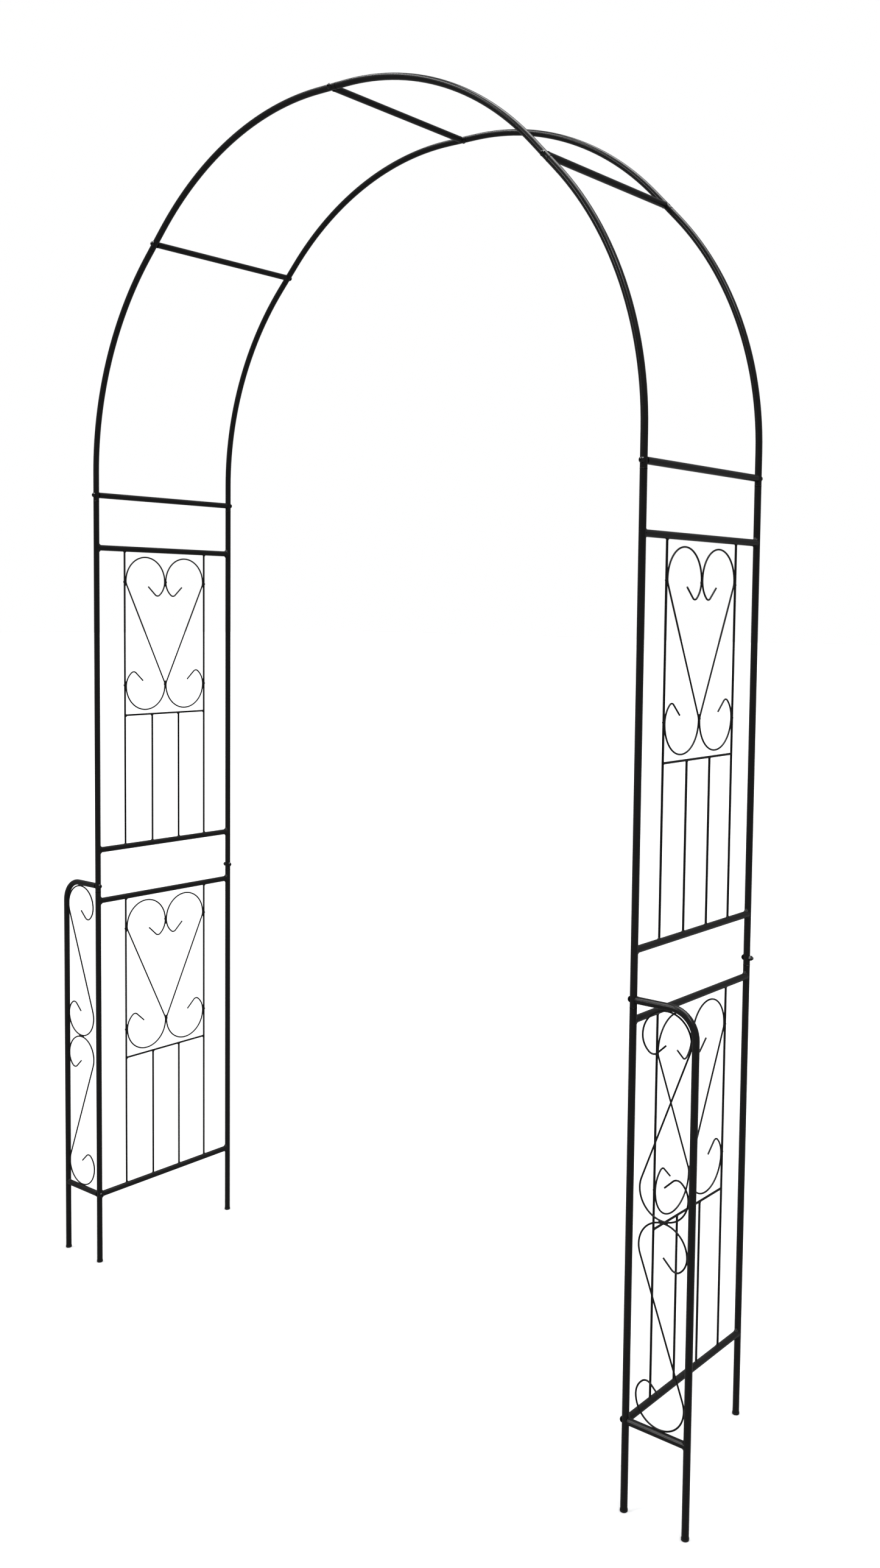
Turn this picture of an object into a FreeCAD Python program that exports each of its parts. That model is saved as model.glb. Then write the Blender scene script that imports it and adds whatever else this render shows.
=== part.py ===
import FreeCAD, Part
import math
import os
import Sketcher

# A metal trellis arch for climbing plants. Two tube hoops, one behind the other, stand on
# ladder-like side panels and are tied together by five crossbars. In the plane of the front
# hoop each side also carries a narrow bolted-on wing with an outer leg of its own.
#
# Frame: millimetres, +Z up, +X along the width of the arch, +Y from the front hoop to the
# rear hoop. The origin lies on the ground, midway between all the legs.

DIMENSIONS = [
    # The whole arch.
    ("OverallHeight", 2400.0),
    ("SpanWidth", 1388.0),          # post axis to post axis, across the walkway
    ("FrameDepth", 368.0),          # front hoop axis to rear hoop axis
    ("WingWidth", 115.0),           # post axis to outer leg axis
    # Tube, its swaged male ends and the joints between tube lengths.
    ("TubeDiameter", 12.0),
    ("TubeWall", 0.8),
    ("SpigotDiameter", 10.0),
    ("SpigotLength", 46.0),
    ("BoltRise", 13.0),             # joint bolt above the seam where two tubes meet
    ("LegJointHeight", 841.0),      # bolt halfway up the side, also the wing's top rail
    ("SpringJointHeight", 1688.0),  # bolt where the hoop starts, also the lowest crossbars
    ("SegmentBend", 45.0),          # average of a hoop's four segments
    ("JointStraight", 35.0),        # unbent tube on each side of a hoop joint
    # Side panels.
    ("LowerRailHeight", 152.0),
    ("UpperRailHeight", 920.0),
    ("PanelHeight", 656.0),
    ("WireDiameter", 4.0),
    ("WireSpacing", 74.0),
    ("MidWireDrop", 365.0),         # cross wire below the panel's top rail
    ("WeldGap", 0.05),
    # Scrolls of thinner wire.
    ("ScrollWire", 3.0),
    ("PanelScrollRadius", 53.0),
    ("PanelShoulderRadius", 20.0),  # where the straight middle turns into the curl
    ("PanelScrollPitch", 232.0),    # centre of the top curl to centre of the bottom curl
    ("PanelScrollDrop", 185.5),     # middle of the scroll below the top rail
    ("PanelHookRadius", 38.0),
    ("PanelTipRadius", 9.0),
    ("PanelTipLength", 26.0),
    ("WingScrollRadius", 44.5),
    ("WingShoulderRadius", 44.0),
    ("WingScrollPitch", 246.5),
    ("WingHookRadius", 32.0),
    ("WingTipRadius", 12.0),
    ("WingTipLength", 21.0),
    ("HookTurn", 52.0),
    ("TipTurn", 81.0),
    ("WingBendRadius", 45.0),
    # Bolts, nuts, threaded inserts and foot caps.
    ("BoltDiameter", 5.0),
    ("BoltHoleDiameter", 5.5),
    ("ThreadDiameter", 5.2),
    ("HeadDiameter", 10.6),
    ("HeadHeight", 4.2),
    ("SocketSize", 1.8),
    ("SocketDepth", 2.0),
    ("InsertLength", 12.0),
    ("InsertDiameter", 10.2),
    ("CollarDiameter", 12.6),
    ("CollarThickness", 1.5),
    ("NutRadius", 4.6),
    ("NutHeight", 4.0),
    ("ThreadShowing", 2.5),
    ("CapDiameter", 13.0),
    ("CapHeight", 4.0),
    ("CapRounding", 1.4),
    ("CapPlugLength", 12.0),
    ("CapPlugClearance", 0.1),
    ("Overlap", 1.0),               # how far fused stages and cutting tools run on
]

# Lengths that several parts share, written once as formulas on the sheet's cells.
HALF_SPAN = "Dims.SpanWidth / 2"
HALF_DEPTH = "Dims.FrameDepth / 2"
TUBE_RADIUS = "Dims.TubeDiameter / 2"
TUBE_BORE = "(Dims.TubeDiameter - 2 * Dims.TubeWall)"
SPIGOT_BORE = "(Dims.SpigotDiameter - 2 * Dims.TubeWall)"
HOOP_CENTRE = "(Dims.OverallHeight - Dims.TubeDiameter / 2 - Dims.SpanWidth / 2)"
LEG_SEAM = "(Dims.LegJointHeight - Dims.BoltRise)"
SPRING_SEAM = "(Dims.SpringJointHeight - Dims.BoltRise)"
LEG_X = "(Dims.SpanWidth / 2 + Dims.WingWidth)"
COLLAR_FACE = "(Dims.TubeDiameter / 2 + Dims.CollarThickness)"

# A hoop's four tubes are cut to one length. Three of them lose a male end inside a neighbour
# and the left crown has none, so it shows more of its length and the joints move round the
# hoop: each haunch joint down by this step, in degrees, and the apex joint right by two.
JOINT_STEP = "((Dims.SpigotLength - 2 * Dims.BoltRise) / 4 / (Dims.SpanWidth / 2) * 180 / pi)"
SHORT_BEND = f"(Dims.SegmentBend - {JOINT_STEP})"
LONG_BEND = f"(Dims.SegmentBend + 3 * {JOINT_STEP})"
HOOP_JOINTS = {
    "left_haunch": f"(135 + {JOINT_STEP})",
    "apex": f"(90 - 2 * {JOINT_STEP})",
    "right_haunch": f"(45 - {JOINT_STEP})",
}

X_AXIS = FreeCAD.Vector(1, 0, 0)
Y_AXIS = FreeCAD.Vector(0, 1, 0)
Z_AXIS = FreeCAD.Vector(0, 0, 1)
SIDES = (("left", -1), ("right", 1))
HOOPS = (("front", -1), ("rear", 1))

doc = FreeCAD.newDocument("TrellisArch")
sheet = doc.addObject("Spreadsheet::Sheet", "Dims")
for row, (alias, size) in enumerate(DIMENSIONS, start=1):
    sheet.set(f"A{row}", alias)
    sheet.set(f"B{row}", str(size))
    sheet.setAlias(f"B{row}", alias)
doc.recompute()

subparts = []


def number(formula):
    """The value that a formula on the sheet has now, as a plain number."""
    result = sheet.evalExpression(formula)
    return float(getattr(result, "Value", result))


def keep(thing, label):
    """Names a finished sub-part and puts it on the list of what is written out."""
    thing.Label = label
    subparts.append(thing)
    return thing


def place(thing, x="0", y="0", z="0", rotation=None):
    """Turns a sub-part by a fixed rotation and binds its position to the sheet."""
    thing.Placement = FreeCAD.Placement(FreeCAD.Vector(), rotation or FreeCAD.Rotation())
    for axis, formula in zip("xyz", (x, y, z)):
        thing.setExpression(f"Placement.Base.{axis}", formula)
    return thing


def turned(z_direction, x_direction):
    """The rotation that carries a part's own Z and X axes to the given directions."""
    return FreeCAD.Rotation(x_direction, z_direction.cross(x_direction), z_direction, "ZXY")


# ---- Sketches ------------------------------------------------------------------------------


def sketch_on(body, name, role):
    """A new sketch on one of the body's own origin planes."""
    plane = [item for item in body.Origin.OriginFeatures if item.Role == role][0]
    sketch = body.newObject("Sketcher::SketchObject", name)
    sketch.AttachmentSupport = [(plane, "")]
    sketch.MapMode = "FlatFace"
    return sketch


def bound(sketch, name, constraint, formula):
    """Adds a constraint whose value follows a formula."""
    index = sketch.addConstraint(constraint)
    sketch.renameConstraint(index, name)
    sketch.setExpression(f"Constraints.{name}", formula)


def add_circle(sketch, name, diameter, x=None, y=None):
    """A circle whose centre is on the origin, or offset from it by the formulas x and y."""
    centre = FreeCAD.Vector(number(x) if x else 0, number(y) if y else 0, 0)
    circle = Part.Circle(centre, Z_AXIS, number(diameter) / 2)
    index = sketch.addGeometry(circle, False)
    if x is None and y is None:
        sketch.addConstraint(Sketcher.Constraint("Coincident", index, 3, -1, 1))
    else:
        across = Sketcher.Constraint("DistanceX", -1, 1, index, 3, centre.x)
        up = Sketcher.Constraint("DistanceY", -1, 1, index, 3, centre.y)
        bound(sketch, name + "Across", across, x or "0")
        bound(sketch, name + "Up", up, y or "0")
    bound(sketch, name, Sketcher.Constraint("Diameter", index, number(diameter)), diameter)


def ring_sketch(body, name, role):
    """The tube's own section: outer wall and bore."""
    sketch = sketch_on(body, name, role)
    add_circle(sketch, "outer", "Dims.TubeDiameter")
    add_circle(sketch, "bore", TUBE_BORE)
    return sketch


def path_sketch(body, name, steps):
    """A centre line in the body's XZ plane that starts at its origin and heads up Z.

    Each step is a straight of a given length, or a turn to the right (towards +X) with a
    given radius and angle. Every step leaves its neighbour tangentially.
    """
    sketch = sketch_on(body, name, "XZ_Plane")
    point = FreeCAD.Vector()
    heading = 90.0
    last_end = None
    for count, step in enumerate(steps):
        angle = math.radians(heading)
        along = FreeCAD.Vector(math.cos(angle), math.sin(angle), 0)
        to_right = FreeCAD.Vector(along.y, -along.x, 0)
        if step[0] == "straight":
            length = number(step[1])
            target = point + along * length
            index = sketch.addGeometry(Part.LineSegment(point, target), False)
            enters, leaves = 1, 2
            bound(sketch, f"Length{count}", Sketcher.Constraint("Distance", index, length), step[1])
            point = target
        else:
            radius = number(step[1])
            turn = number(step[2])
            centre = point + to_right * radius
            first = angle + math.pi / 2
            last = first - math.radians(turn)
            circle = Part.Circle(centre, Z_AXIS, radius)
            index = sketch.addGeometry(Part.ArcOfCircle(circle, last, first), False)
            enters, leaves = 2, 1
            bound(sketch, f"Radius{count}", Sketcher.Constraint("Radius", index, radius), step[1])
            sweep = Sketcher.Constraint("Angle", index, math.radians(turn))
            bound(sketch, f"Turn{count}", sweep, step[2] + " * 1 deg")
            point = centre + FreeCAD.Vector(math.cos(last), math.sin(last), 0) * radius
            heading -= turn
        if last_end is None:
            sketch.addConstraint(Sketcher.Constraint("Coincident", index, enters, -1, 1))
            sketch.addConstraint(Sketcher.Constraint("Vertical", index))
        else:
            sketch.addConstraint(Sketcher.Constraint("Tangent", *last_end, index, enters))
        last_end = (index, leaves)
    return sketch


# ---- Features that tubes share -------------------------------------------------------------


def new_body(name):
    return doc.addObject("PartDesign::Body", name)


def pad(body, sketch, length, symmetric=False):
    feature = body.newObject("PartDesign::Pad", "Pad")
    feature.Profile = sketch
    feature.SideType = "Symmetric" if symmetric else "One side"
    feature.setExpression("Length", length)
    return feature


def sweep(body, profile, path, steps):
    feature = body.newObject("PartDesign::AdditivePipe", "Sweep")
    feature.Profile = profile
    feature.Spine = (path, [f"Edge{index}" for index in range(1, len(steps) + 1)])
    return feature


def cut_through(body, sketch):
    feature = body.newObject("PartDesign::Pocket", "Cut")
    feature.Profile = sketch
    feature.Type = "ThroughAll"
    feature.SideType = "Symmetric"
    return feature


def bolt_hole(body, name, role, up, across=None):
    """Drills through both walls, square to one of the body's upright planes."""
    sketch = sketch_on(body, name, role)
    add_circle(sketch, "hole", "Dims.BoltHoleDiameter", across or "0", up)
    cut_through(body, sketch)


def add_spigot(body):
    """The swaged male end: below the tube's end at Z = 0, joined to it by a thin shoulder."""
    sketch = sketch_on(body, "SpigotWall", "XZ_Plane")
    wall_middle = "(Dims.TubeDiameter / 2 - Dims.TubeWall / 2)"
    outer = "Dims.SpigotDiameter / 2"
    inner = SPIGOT_BORE + " / 2"
    corners = [
        (inner, "-Dims.SpigotLength"),
        (outer, "-Dims.SpigotLength"),
        (outer, "0"),
        (wall_middle, "0"),
        (wall_middle, "Dims.TubeWall"),
        (inner, "Dims.TubeWall"),
    ]
    points = [FreeCAD.Vector(number(x), number(y), 0) for x, y in corners]
    for index, point in enumerate(points):
        target = points[(index + 1) % len(points)]
        sketch.addGeometry(Part.LineSegment(point, target), False)
    for index, (x, y) in enumerate(corners):
        following = (index + 1) % len(corners)
        sketch.addConstraint(Sketcher.Constraint("Coincident", index, 2, following, 1))
        across = Sketcher.Constraint("DistanceX", -1, 1, index, 1, points[index].x)
        up = Sketcher.Constraint("DistanceY", -1, 1, index, 1, points[index].y)
        bound(sketch, f"Across{index}", across, x)
        bound(sketch, f"Up{index}", up, y)
    feature = body.newObject("PartDesign::Revolution", "Spigot")
    feature.Profile = sketch
    feature.ReferenceAxis = (sketch, ["V_Axis"])
    feature.Angle = 360.0


# ---- Posts: straight lengths, drawn downwards from the seam at their top --------------------

UPSIDE_DOWN = FreeCAD.Rotation(X_AXIS, 180)


def lower_post(side, sign, hoop, depth_sign):
    """Foot to mid-height seam. The front one also takes the bolt of the wing's bottom rail."""
    body = new_body("LowerPost")
    pad(body, ring_sketch(body, "Section", "XY_Plane"), LEG_SEAM + " - Dims.CapHeight")
    add_spigot(body)
    bolt_hole(body, "LegJointHole", "YZ_Plane", "-Dims.BoltRise")
    if hoop == "front":
        bolt_hole(body, "WingHole", "YZ_Plane", LEG_SEAM + " - Dims.LowerRailHeight")
    place(body, f"{sign} * {HALF_SPAN}", f"{depth_sign} * {HALF_DEPTH}", LEG_SEAM, UPSIDE_DOWN)
    keep(body, f"{side}_{hoop}_post_lower")


def upper_post(side, sign, hoop, depth_sign):
    """Mid-height seam to the seam under the hoop."""
    body = new_body("UpperPost")
    length = SPRING_SEAM + " - " + LEG_SEAM
    pad(body, ring_sketch(body, "Section", "XY_Plane"), length)
    add_spigot(body)
    bolt_hole(body, "SpringHole", "XZ_Plane", "-Dims.BoltRise")
    bolt_hole(body, "LegJointHole", "YZ_Plane", length + " - Dims.BoltRise")
    place(body, f"{sign} * {HALF_SPAN}", f"{depth_sign} * {HALF_DEPTH}", SPRING_SEAM, UPSIDE_DOWN)
    keep(body, f"{side}_{hoop}_post_upper")


# ---- Side panels: two welded rails, upright wires, a cross wire and a heart of two scrolls ---


def rail(side, sign, level, edge, height):
    """A rail between the front and rear posts, both ends coped to the posts' curve. The tips
    of the copes are trimmed, so that a bolt can cross the post at the rail's own height."""
    body = new_body("Rail")
    length = "Dims.FrameDepth - Dims.BoltHoleDiameter"
    pad(body, ring_sketch(body, "Section", "XZ_Plane"), length, symmetric=True)
    copes = sketch_on(body, "Copes", "XY_Plane")
    cope_diameter = "Dims.TubeDiameter + 2 * Dims.WeldGap"
    add_circle(copes, "FrontCope", cope_diameter, "0", "-" + HALF_DEPTH)
    add_circle(copes, "RearCope", cope_diameter, "0", HALF_DEPTH)
    cut_through(body, copes)
    place(body, f"{sign} * {HALF_SPAN}", "0", height)
    keep(body, f"{side}_{level}_rail_{edge}")


def wire(name, diameter, length, x, y, z, rotation=None):
    """A straight round wire, up Z unless it is turned."""
    cylinder = doc.addObject("Part::Cylinder", name)
    cylinder.setExpression("Radius", diameter + " / 2")
    cylinder.setExpression("Height", length)
    return place(cylinder, x, y, z, rotation)


def group(label, links):
    """Several loose solids that share one sub-part."""
    compound = doc.addObject("Part::Compound", "Group")
    compound.Links = links
    return keep(compound, label)


def panel_wires(side, sign, level, rail_height):
    """Four uprights from the bottom rail: the outer two reach the top rail, the inner two
    stop under the cross wire, which runs between the outer two."""
    x = f"{sign} * {HALF_SPAN}"
    foot = f"{rail_height} + {TUBE_RADIUS}"
    full = "Dims.PanelHeight - Dims.TubeDiameter"
    to_mid = f"Dims.PanelHeight - Dims.MidWireDrop - Dims.WireDiameter / 2 - {TUBE_RADIUS}"
    uprights = []
    for place_across, length in ((-1.5, full), (-0.5, to_mid), (0.5, to_mid), (1.5, full)):
        y = f"{place_across} * Dims.WireSpacing"
        uprights.append(wire("Upright", "Dims.WireDiameter", length, x, y, foot))
    group(f"{side}_{level}_uprights", uprights)
    mid_height = f"{rail_height} + Dims.PanelHeight - Dims.MidWireDrop"
    start = "-1.5 * Dims.WireSpacing + Dims.WireDiameter / 2 + Dims.WeldGap"
    length = "3 * Dims.WireSpacing - Dims.WireDiameter - 2 * Dims.WeldGap"
    cross = wire("CrossWire", "Dims.WireDiameter", length, x, start, mid_height,
                 FreeCAD.Rotation(X_AXIS, -90))
    keep(cross, f"{side}_{level}_cross_wire")


def half_lean_tangent(kind):
    """Tangent of half the angle between a scroll's straight middle and the vertical.

    The middle passes through the scroll's centre and meets the vertical line that its curl
    touches in a corner. The corner is rounded by the shoulder, whose upper end is level with
    the curl's centre, half a pitch above the scroll's own. That makes the tangent the root
    of (2 shoulder - radius) t^2 - pitch t + radius = 0.
    """
    half_pitch = f"(Dims.{kind}ScrollPitch / 2)"
    factor = f"(2 * Dims.{kind}ShoulderRadius - Dims.{kind}ScrollRadius)"
    root = f"sqrt({half_pitch} ^ 2 - {factor} * Dims.{kind}ScrollRadius)"
    return f"(({half_pitch} - {root}) / {factor})"


def lean(kind):
    """The angle in degrees between a scroll's straight middle and the vertical, as a formula."""
    return f"(2 * atan({half_lean_tangent(kind)}) / 1 deg)"


def scroll_template(kind):
    """An S of round wire, drawn as its upper half and turned half a turn for the lower half.

    From the middle the wire runs straight, turns upright in a tight shoulder, wraps half
    round a large curl, tightens into a hook and ends in a short straight tip. The straight
    middle lies along Z.
    """
    radius = f"Dims.{kind}ScrollRadius"
    shoulder = f"Dims.{kind}ShoulderRadius"
    middle = f"{radius} / sin({lean(kind)} * 1 deg) - {shoulder} * {half_lean_tangent(kind)}"
    steps = [
        ("straight", middle),
        ("turn", shoulder, lean(kind)),
        ("turn", radius, "180"),
        ("turn", f"Dims.{kind}HookRadius", "Dims.HookTurn"),
        ("turn", f"Dims.{kind}TipRadius", "Dims.TipTurn"),
        ("straight", f"Dims.{kind}TipLength"),
    ]
    body = new_body(kind + "Scroll")
    section = sketch_on(body, "Section", "XY_Plane")
    add_circle(section, "wire", "Dims.ScrollWire")
    half = sweep(body, section, path_sketch(body, "CentreLine", steps), steps)
    pattern = body.newObject("PartDesign::PolarPattern", "OtherHalf")
    pattern.Originals = [half]
    pattern.Axis = ([item for item in body.Origin.OriginFeatures if item.Role == "Y_Axis"][0], [""])
    pattern.Angle = 360.0
    pattern.Occurrences = 2
    body.Tip = pattern
    return body


def copy_of(template, x, y, z, rotation):
    link = doc.addObject("App::Link", "Copy")
    link.LinkedObject = template
    return place(link, x, y, z, rotation)


def panel_scrolls(side, sign, level, rail_height, template):
    """Two scrolls back to back, mirror images, so that their top curls make a heart."""
    z = f"{rail_height} + Dims.PanelHeight - Dims.PanelScrollDrop"
    upright = FreeCAD.Rotation(Y_AXIS, -number(lean("Panel")))
    half_width = "(1.5 * Dims.WireSpacing - Dims.WireDiameter / 2) / 2"
    pair = []
    for end in (-1, 1):
        facing = FreeCAD.Rotation(Z_AXIS, -90 * end)
        y = f"{end} * {half_width}"
        pair.append(copy_of(template, f"{sign} * {HALF_SPAN}", y, z, facing * upright))
    group(f"{side}_{level}_scrolls", pair)


# ---- Wings: an outer leg bent over into a top rail, a bottom rail and two stacked scrolls ----


def wing_leg(side, sign):
    """Top rail, bend and outer leg in one length of tube."""
    steps = [
        ("straight", f"Dims.WingWidth - Dims.WingBendRadius - {COLLAR_FACE}"),
        ("turn", "Dims.WingBendRadius", "90"),
        ("straight", "Dims.LegJointHeight - Dims.WingBendRadius - Dims.CapHeight"),
    ]
    body = new_body("WingLeg")
    sweep(body, ring_sketch(body, "Section", "XY_Plane"),
          path_sketch(body, "CentreLine", steps), steps)
    outward = turned(X_AXIS * sign, -Z_AXIS)
    place(body, f"{sign} * ({HALF_SPAN} + {COLLAR_FACE})", "-" + HALF_DEPTH,
          "Dims.LegJointHeight", outward)
    keep(body, f"{side}_wing_leg")


def wing_rail(side, sign):
    """Bottom rail: cut square at the post, coped to the outer leg and welded there."""
    body = new_body("WingRail")
    pad(body, ring_sketch(body, "Section", "XY_Plane"), f"Dims.WingWidth - {COLLAR_FACE}")
    cope = sketch_on(body, "Cope", "XZ_Plane")
    add_circle(cope, "Cope", "Dims.TubeDiameter + 2 * Dims.WeldGap", "0",
               f"Dims.WingWidth - {COLLAR_FACE}")
    cut_through(body, cope)
    place(body, f"{sign} * ({HALF_SPAN} + {COLLAR_FACE})", "-" + HALF_DEPTH,
          "Dims.LowerRailHeight", turned(X_AXIS * sign, -Y_AXIS * sign))
    keep(body, f"{side}_wing_rail_bottom")


def wing_scrolls(side, sign, template):
    """Two scrolls, the lower one the upper one's reflection. They fill the height between
    the rails, lie against the outer leg and stay clear of the post."""
    reach = f"({LEG_X} - {TUBE_RADIUS} - Dims.WingScrollRadius - Dims.ScrollWire / 2)"
    half_height = "(Dims.WingScrollPitch / 2 + Dims.WingScrollRadius + Dims.ScrollWire / 2)"
    upright = FreeCAD.Rotation(Y_AXIS, -number(lean("Wing")))
    side_turn = FreeCAD.Rotation(Z_AXIS, 0 if sign < 0 else 180)
    upper_z = f"Dims.LegJointHeight - {TUBE_RADIUS} - {half_height}"
    lower_z = f"Dims.LowerRailHeight + {TUBE_RADIUS} + {half_height}"
    x = f"{sign} * {reach}"
    y = "-" + HALF_DEPTH
    upside_down = FreeCAD.Rotation(X_AXIS, 180)
    group(f"{side}_wing_scrolls", [
        copy_of(template, x, y, upper_z, side_turn * upright),
        copy_of(template, x, y, lower_z, side_turn * upside_down * upright),
    ])


# ---- Hoops: four bent segments each, bolted at the crossbars ---------------------------------


def hoop_segment(label, first, bend_degrees, last, swaged, x, y, z, rotation):
    """A segment drawn from one seam, through its bend, to its other end. The bend's radius
    keeps the joints on one circle and the tube there straight and square to its spokes."""
    bend = f"({bend_degrees} * 1 deg)"
    radius = f"({HALF_SPAN} - Dims.JointStraight / tan({bend} / 2))"
    steps = [("straight", first), ("turn", radius, bend_degrees), ("straight", last)]
    body = new_body("HoopSegment")
    sweep(body, ring_sketch(body, "Section", "XY_Plane"),
          path_sketch(body, "CentreLine", steps), steps)
    if swaged:
        add_spigot(body)
        bolt_hole(body, "NearHole", "XZ_Plane", "-Dims.BoltRise")
    else:
        bolt_hole(body, "NearHole", "XZ_Plane", "Dims.BoltRise")
    past_bend = f"({last} - Dims.BoltRise)"
    across = f"{radius} * (1 - cos{bend}) + {past_bend} * sin{bend}"
    up = f"{first} + {radius} * sin{bend} + {past_bend} * cos{bend}"
    bolt_hole(body, "FarHole", "XZ_Plane", up, across)
    place(body, x, y, z, rotation)
    keep(body, label)


def around_hoop(joint):
    """Outward and tangential directions at a joint, whose angle runs from +X towards +Z."""
    angle = math.radians(number(HOOP_JOINTS[joint]))
    outward = FreeCAD.Vector(math.cos(angle), 0, math.sin(angle))
    tangent = FreeCAD.Vector(-math.sin(angle), 0, math.cos(angle))
    return outward, tangent


def seam_point(joint, downhill):
    """A seam's place on the hoop: past the joint bolt by the bolt's rise, in the direction
    downhill, +1 for growing angles and -1 for shrinking ones, or 0 for the bolt itself."""
    angle = f"({HOOP_JOINTS[joint]} * 1 deg)"
    step = f"({downhill} * Dims.BoltRise)"
    x = f"{HALF_SPAN} * cos{angle} - {step} * sin{angle}"
    z = f"{HOOP_CENTRE} + {HALF_SPAN} * sin{angle} + {step} * cos{angle}"
    return x, z


def hoop(name, depth_sign):
    """The upper tube of every joint slides over the lower tube's male end."""
    y = f"{depth_sign} * {HALF_DEPTH}"
    beyond = "(Dims.JointStraight - Dims.BoltRise)"
    before = "(Dims.JointStraight + Dims.BoltRise)"
    to_post = f"(Dims.JointStraight + {HOOP_CENTRE} - {SPRING_SEAM})"
    # label, the joint it starts from, +1 for anticlockwise, first, bend, last, male end
    segments = [
        ("left_haunch", "left_haunch", 1, beyond, SHORT_BEND, to_post, True),
        ("left_crown", "left_haunch", -1, before, LONG_BEND, before, False),
        ("right_crown", "apex", -1, beyond, SHORT_BEND, before, True),
        ("right_haunch", "right_haunch", -1, beyond, SHORT_BEND, to_post, True),
    ]
    for label, joint, turn, first, bend, last, swaged in segments:
        outward, tangent = around_hoop(joint)
        downhill = turn if swaged else -turn
        x, z = seam_point(joint, downhill)
        hoop_segment(f"{name}_hoop_{label}", first, bend, last, swaged, x, y, z,
                     turned(tangent * turn, -outward))


def crossbar(label, x, z):
    """A straight tube between the hoops, its ends resting on the collars of its inserts."""
    body = new_body("Crossbar")
    length = f"Dims.FrameDepth - 2 * {COLLAR_FACE}"
    pad(body, ring_sketch(body, "Section", "XZ_Plane"), length, symmetric=True)
    place(body, x, "0", z)
    keep(body, "crossbar_" + label)


# ---- Fasteners and foot caps -----------------------------------------------------------------


def solid_of_cylinders(name, stages):
    """Stacked cylinders on the Z axis as one solid: (radius, bottom, height) formulas."""
    parts = []
    for radius, bottom, height in stages:
        cylinder = doc.addObject("Part::Cylinder", name + "Stage")
        cylinder.setExpression("Radius", radius)
        cylinder.setExpression("Height", height)
        cylinder.setExpression("Placement.Base.z", bottom)
        parts.append(cylinder)
    fused = doc.addObject("Part::MultiFuse", name)
    fused.Shapes = parts
    return fused


def cut_from(name, base, tool):
    cut = doc.addObject("Part::Cut", name)
    cut.Base = base
    cut.Tool = tool
    return cut


def bolt_template(name, shank):
    """Low dome head above Z = 0 with a hexagon socket, shank below it."""
    cap_radius = "((Dims.HeadDiameter / 2) ^ 2 + Dims.HeadHeight ^ 2) / (2 * Dims.HeadHeight)"
    ball = doc.addObject("Part::Sphere", name + "Ball")
    ball.setExpression("Radius", cap_radius)
    ball.setExpression("Placement.Base.z", f"Dims.HeadHeight - {cap_radius}")
    slab = doc.addObject("Part::Cylinder", name + "Slab")
    slab.setExpression("Radius", "Dims.HeadDiameter")
    slab.setExpression("Height", "Dims.HeadHeight")
    head = doc.addObject("Part::Common", name + "Head")
    head.Base = ball
    head.Tool = slab
    stem = doc.addObject("Part::Cylinder", name + "Stem")
    stem.setExpression("Radius", "Dims.BoltDiameter / 2")
    stem.setExpression("Height", f"{shank} + Dims.Overlap")
    stem.setExpression("Placement.Base.z", f"-({shank})")
    whole = doc.addObject("Part::Fuse", name + "Whole")
    whole.Base = head
    whole.Tool = stem
    socket = doc.addObject("Part::Prism", name + "Socket")
    socket.Polygon = 6
    socket.setExpression("Circumradius", "Dims.SocketSize")
    socket.setExpression("Height", "Dims.SocketDepth + Dims.Overlap")
    socket.setExpression("Placement.Base.z", "Dims.HeadHeight - Dims.SocketDepth")
    return cut_from(name, whole, socket)


def insert_template():
    """Threaded insert: a body inside the tube's end and a collar, above Z = 0, outside it."""
    stages = [
        ("Dims.InsertDiameter / 2", "-Dims.InsertLength", "Dims.InsertLength"),
        ("Dims.CollarDiameter / 2", "0", "Dims.CollarThickness"),
    ]
    blank = solid_of_cylinders("InsertBlank", stages)
    thread = doc.addObject("Part::Cylinder", "InsertThread")
    thread.setExpression("Radius", "Dims.ThreadDiameter / 2")
    bore = "Dims.InsertLength + Dims.CollarThickness + 2 * Dims.Overlap"
    thread.setExpression("Height", bore)
    thread.setExpression("Placement.Base.z", "-Dims.InsertLength - Dims.Overlap")
    return cut_from("Insert", blank, thread)


def nut_template():
    """Hexagon nut standing on Z = 0."""
    prism = doc.addObject("Part::Prism", "NutBlank")
    prism.Polygon = 6
    prism.setExpression("Circumradius", "Dims.NutRadius")
    prism.setExpression("Height", "Dims.NutHeight")
    thread = doc.addObject("Part::Cylinder", "NutThread")
    thread.setExpression("Radius", "Dims.ThreadDiameter / 2")
    thread.setExpression("Height", "Dims.NutHeight + 2 * Dims.Overlap")
    thread.setExpression("Placement.Base.z", "-Dims.Overlap")
    return cut_from("Nut", prism, thread)


def cap_template():
    """Foot cap: a rounded disc from the ground up to the tube's end, and a plug inside it."""
    stages = [
        ("Dims.CapDiameter / 2", "0", "Dims.CapHeight"),
        (TUBE_BORE + " / 2 - Dims.CapPlugClearance", "Dims.CapHeight", "Dims.CapPlugLength"),
    ]
    blank = solid_of_cylinders("CapBlank", stages)
    doc.recompute()
    ground_edges = []
    for index, edge in enumerate(blank.Shape.Edges, start=1):
        if abs(edge.BoundBox.ZMax) < 1e-6:
            ground_edges.append(index)
    cap = doc.addObject("Part::Fillet", "Cap")
    cap.Base = blank
    rounding = number("Dims.CapRounding")
    cap.Edges = [(index, rounding, rounding) for index in ground_edges]
    return cap


# Directions in which a bolt's head looks.
TOWARDS_FRONT = turned(-Y_AXIS, X_AXIS)
TOWARDS_REAR = turned(Y_AXIS, X_AXIS)
TOWARDS_LEFT = turned(-X_AXIS, Y_AXIS)
TOWARDS_RIGHT = turned(X_AXIS, Y_AXIS)

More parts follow.
